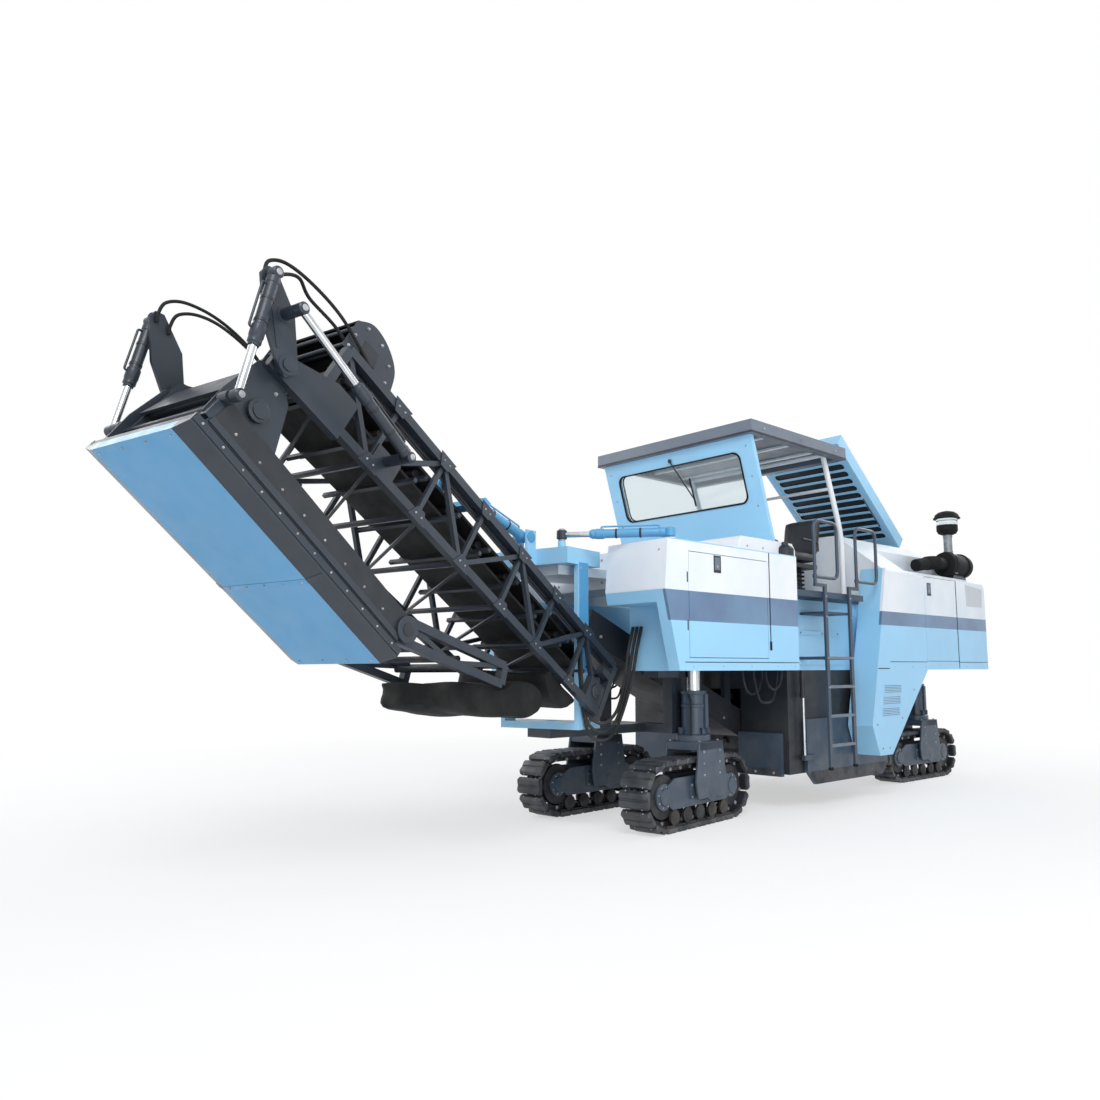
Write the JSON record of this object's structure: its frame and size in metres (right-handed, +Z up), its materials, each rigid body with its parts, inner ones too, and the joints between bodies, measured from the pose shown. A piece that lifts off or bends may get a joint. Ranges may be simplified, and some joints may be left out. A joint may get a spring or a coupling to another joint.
{
  "type": "cold planer milling machine",
  "caption": "Road milling machine on four tracks with lifting columns, milling drum, operator platform with canopy, open engine hood and a slewing discharge conveyor folded under itself.",
  "frame": {"origin": "middle of the bounding box on the ground under the tracks", "axes": "+X to the machine's left, +Y towards its rear (it drives towards -Y), +Z up"},
  "size_m": [2.7072, 10.406, 4.1577],
  "materials": {
    "light_blue_paint": "semi-gloss light blue paint",
    "white_paint": "semi-gloss white paint",
    "slate_paint": "satin slate paint",
    "dark_machinery": "matt dark paint",
    "track_steel": "worn steel",
    "rubber": "matt black rubber",
    "chrome": "polished",
    "grey_paint": "satin grey paint"
  },
  "bodies": {
    "chassis": {"front_body": "white_paint", "lower_slew_arm": "slate_paint", "primary_conveyor": "dark_machinery", "main_frame": "slate_paint", "left_ladder": "slate_paint", "right_handrail": "slate_paint", "middle_body": "light_blue_paint", "operator_platform": "slate_paint", "canopy_roof": "grey_paint", "windshield_frame": "light_blue_paint", "canopy_rear_frame": "white_paint", "operator_station": "white_paint", "rear_body": "white_paint", "engine_block": "dark_machinery", "air_cleaner": "rubber"},
    "drum": {"milling_drum": "track_steel"},
    "moldboard": {"rear_moldboard": "slate_paint"},
    "hold_down": {"front_hold_down": "slate_paint"},
    "left_side_plate": {"left_side_plate": "slate_paint"},
    "right_side_plate": {"right_side_plate": "slate_paint"},
    "left_locker_door": {"left_locker_door": "white_paint"},
    "right_locker_door": {"right_locker_door": "white_paint"},
    "left_service_door": {"left_service_door": "white_paint"},
    "right_service_door": {"right_service_door": "white_paint"},
    "hood": {"engine_hood": "light_blue_paint"},
    "front_left_track": {"front_left_leg": "slate_paint", "front_left_track": "track_steel"},
    "front_right_track": {"front_right_leg": "slate_paint", "front_right_track": "track_steel"},
    "rear_left_track": {"rear_left_leg": "slate_paint", "rear_left_track": "track_steel"},
    "rear_right_track": {"rear_right_leg": "slate_paint", "rear_right_track": "track_steel"},
    "yoke": {"swing_yoke": "light_blue_paint"},
    "conveyor_base": {"base_conveyor_frame": "slate_paint", "luff_mast": "light_blue_paint", "base_belt": "rubber", "foot_skirt": "rubber"},
    "conveyor_tip": {"tip_conveyor_frame": "slate_paint", "tip_belt": "rubber", "discharge_skirt": "rubber", "tip_cover": "light_blue_paint"},
    "fold_levers": {"left_fold_lever": "slate_paint", "right_fold_lever": "slate_paint"},
    "tip_barrels": {"left_tip_cylinder_barrel": "slate_paint", "right_tip_cylinder_barrel": "slate_paint"},
    "tip_rods": {"left_tip_cylinder_rod": "chrome", "right_tip_cylinder_rod": "chrome"},
    "lever_barrels": {"left_lever_cylinder_barrel": "slate_paint", "right_lever_cylinder_barrel": "slate_paint"},
    "lever_rods": {"left_lever_cylinder_rod": "chrome", "right_lever_cylinder_rod": "chrome"},
    "luff_barrel": {"luff_cylinder_barrel": "light_blue_paint"},
    "luff_rod": {"luff_cylinder_rod": "chrome"},
    "left_slew_barrel": {"left_slew_cylinder_barrel": "light_blue_paint"},
    "left_slew_rod": {"left_slew_cylinder_rod": "chrome"},
    "right_slew_barrel": {"right_slew_cylinder_barrel": "light_blue_paint"},
    "right_slew_rod": {"right_slew_cylinder_rod": "chrome"}
  },
  "joints": [
    {"name": "conveyor_slew", "type": "hinge", "parent": "chassis", "child": "yoke", "pos_m": [-0.10358, -1.33002, 2.3], "axis": [0, 0, 1], "range_deg": [-52, 28]},
    {"name": "conveyor_luff", "type": "hinge", "parent": "yoke", "child": "conveyor_base", "pos_m": [-0.08279, -1.42783, 1.2], "axis": [-0.9781, -0.2079, 0], "range_deg": [-16, 8]},
    {"name": "conveyor_fold", "type": "hinge", "parent": "conveyor_base", "child": "conveyor_tip", "pos_m": [0.58266, -4.55857, 3.11996], "axis": [-0.9781, -0.2079, 0], "range_deg": [0, 173.6]},
    {"name": "fold_lever_swing", "type": "hinge", "parent": "conveyor_base", "child": "fold_levers", "pos_m": [0.58266, -4.55857, 3.11996], "axis": [-0.9781, -0.2079, 0], "range_deg": [-0.05, 130.25]},
    {"name": "tip_barrel_swing", "type": "hinge", "parent": "fold_levers", "child": "tip_barrels", "pos_m": [0.61266, -4.69969, 3.60391], "axis": [-0.9781, -0.2079, 0], "range_deg": [-0.05, 18.72]},
    {"name": "tip_rod_slide", "type": "slide", "parent": "tip_barrels", "child": "tip_rods", "axis": [0.0523, -0.2459, -0.9679], "range_m": [-0.24878, 0.0005]},
    {"name": "lever_barrel_swing", "type": "hinge", "parent": "conveyor_base", "child": "lever_barrels", "pos_m": [0.41389, -3.76456, 2.71562], "axis": [-0.9781, -0.2079, 0], "range_deg": [-15.92, 0.05]},
    {"name": "lever_rod_slide", "type": "slide", "parent": "lever_barrels", "child": "lever_rods", "axis": [0.161, -0.7576, 0.6326], "range_m": [-0.47494, 0.0005]},
    {"name": "luff_barrel_swing", "type": "hinge", "parent": "yoke", "child": "luff_barrel", "pos_m": [-0.01626, -1.74084, 2.52], "axis": [-0.9781, -0.2079, 0], "range_deg": [-25.53, 12.79]},
    {"name": "luff_rod_slide", "type": "slide", "parent": "luff_barrel", "child": "luff_rod", "axis": [0.1973, -0.9282, 0.3153], "range_m": [-0.16719, 0.33388]},
    {"name": "left_slew_barrel_swing", "type": "hinge", "parent": "chassis", "child": "left_slew_barrel", "pos_m": [1.01642, -1.00002, 2.53], "axis": [0, 0, 1], "range_deg": [-2.92, 5.38]},
    {"name": "left_slew_rod_slide", "type": "slide", "parent": "left_slew_barrel", "child": "left_slew_rod", "axis": [-0.8008, -0.5989, 0], "range_m": [-0.19135, 0.35494]},
    {"name": "right_slew_barrel_swing", "type": "hinge", "parent": "chassis", "child": "right_slew_barrel", "pos_m": [-1.22358, -1.00002, 2.53], "axis": [0, 0, 1], "range_deg": [-2.92, 5.38]},
    {"name": "right_slew_rod_slide", "type": "slide", "parent": "right_slew_barrel", "child": "right_slew_rod", "axis": [0.7833, -0.6217, 0], "range_m": [-0.35494, 0.19135]},
    {"name": "front_left_steer", "type": "hinge", "parent": "chassis", "child": "front_left_track", "pos_m": [0.54642, -0.18002, 0.735], "axis": [0, 0, 1], "range_deg": [-23, 13]},
    {"name": "front_right_steer", "type": "hinge", "parent": "chassis", "child": "front_right_track", "pos_m": [-0.75358, -0.18002, 0.735], "axis": [0, 0, 1], "range_deg": [-23, 13]},
    {"name": "rear_left_steer", "type": "hinge", "parent": "chassis", "child": "rear_left_track", "pos_m": [0.37642, 4.44998, 0.735], "axis": [0, 0, 1], "range_deg": [-16, 20]},
    {"name": "rear_right_steer", "type": "hinge", "parent": "chassis", "child": "rear_right_track", "pos_m": [-0.58358, 4.44998, 0.735], "axis": [0, 0, 1], "range_deg": [-16, 20]},
    {"name": "drum_spin", "type": "hinge", "parent": "chassis", "child": "drum", "pos_m": [-0.10358, 1.91998, 0.8], "axis": [1, 0, 0], "continuous": true},
    {"name": "left_side_plate_lift", "type": "slide", "parent": "chassis", "child": "left_side_plate", "axis": [0, 0, 1], "range_m": [-0.2, 0.25]},
    {"name": "right_side_plate_lift", "type": "slide", "parent": "chassis", "child": "right_side_plate", "axis": [0, 0, 1], "range_m": [-0.2, 0.25]},
    {"name": "moldboard_lift", "type": "slide", "parent": "chassis", "child": "moldboard", "axis": [0, 0, 1], "range_m": [-0.15, 0.2]},
    {"name": "hold_down_lift", "type": "slide", "parent": "chassis", "child": "hold_down", "axis": [0, 0, 1], "range_m": [-0.15, 0.12]},
    {"name": "hood_close", "type": "hinge", "parent": "chassis", "child": "hood", "pos_m": [-0.10358, 4.01998, 2.912], "axis": [1, 0, 0], "range_deg": [0, 38.5]},
    {"name": "left_locker_open", "type": "hinge", "parent": "chassis", "child": "left_locker_door", "pos_m": [1.14642, 0.17998, 1.92], "axis": [0, 0, 1], "range_deg": [0, 95]},
    {"name": "right_locker_open", "type": "hinge", "parent": "chassis", "child": "right_locker_door", "pos_m": [-1.35358, 0.17998, 1.92], "axis": [0, 0, -1], "range_deg": [0, 95]},
    {"name": "left_service_open", "type": "hinge", "parent": "chassis", "child": "left_service_door", "pos_m": [1.14642, 3.28998, 1.955], "axis": [0, 0, -1], "range_deg": [0, 100]},
    {"name": "right_service_open", "type": "hinge", "parent": "chassis", "child": "right_service_door", "pos_m": [-1.35358, 3.28998, 1.955], "axis": [0, 0, 1], "range_deg": [0, 100]}
  ],
  "couplings": [
    {"joint": "fold_lever_swing", "follows": "conveyor_fold", "ratio": 0.75},
    {"joint": "tip_barrel_swing", "follows": "conveyor_fold", "ratio": 0.10754},
    {"joint": "tip_rod_slide", "follows": "conveyor_fold", "m_per_rad": -0.081943},
    {"joint": "lever_barrel_swing", "follows": "conveyor_fold", "ratio": -0.091398},
    {"joint": "lever_rod_slide", "follows": "conveyor_fold", "m_per_rad": -0.15659},
    {"joint": "luff_barrel_swing", "follows": "conveyor_luff", "ratio": 1.5923},
    {"joint": "luff_rod_slide", "follows": "conveyor_luff", "m_per_rad": -1.1938},
    {"joint": "left_slew_barrel_swing", "follows": "conveyor_slew", "ratio": -0.1025},
    {"joint": "left_slew_rod_slide", "follows": "conveyor_slew", "m_per_rad": -0.39053},
    {"joint": "right_slew_barrel_swing", "follows": "conveyor_slew", "ratio": -0.1025},
    {"joint": "right_slew_rod_slide", "follows": "conveyor_slew", "m_per_rad": 0.39053},
    {"joint": "front_right_steer", "follows": "front_left_steer", "ratio": 1},
    {"joint": "rear_right_steer", "follows": "rear_left_steer", "ratio": 1}
  ]
}
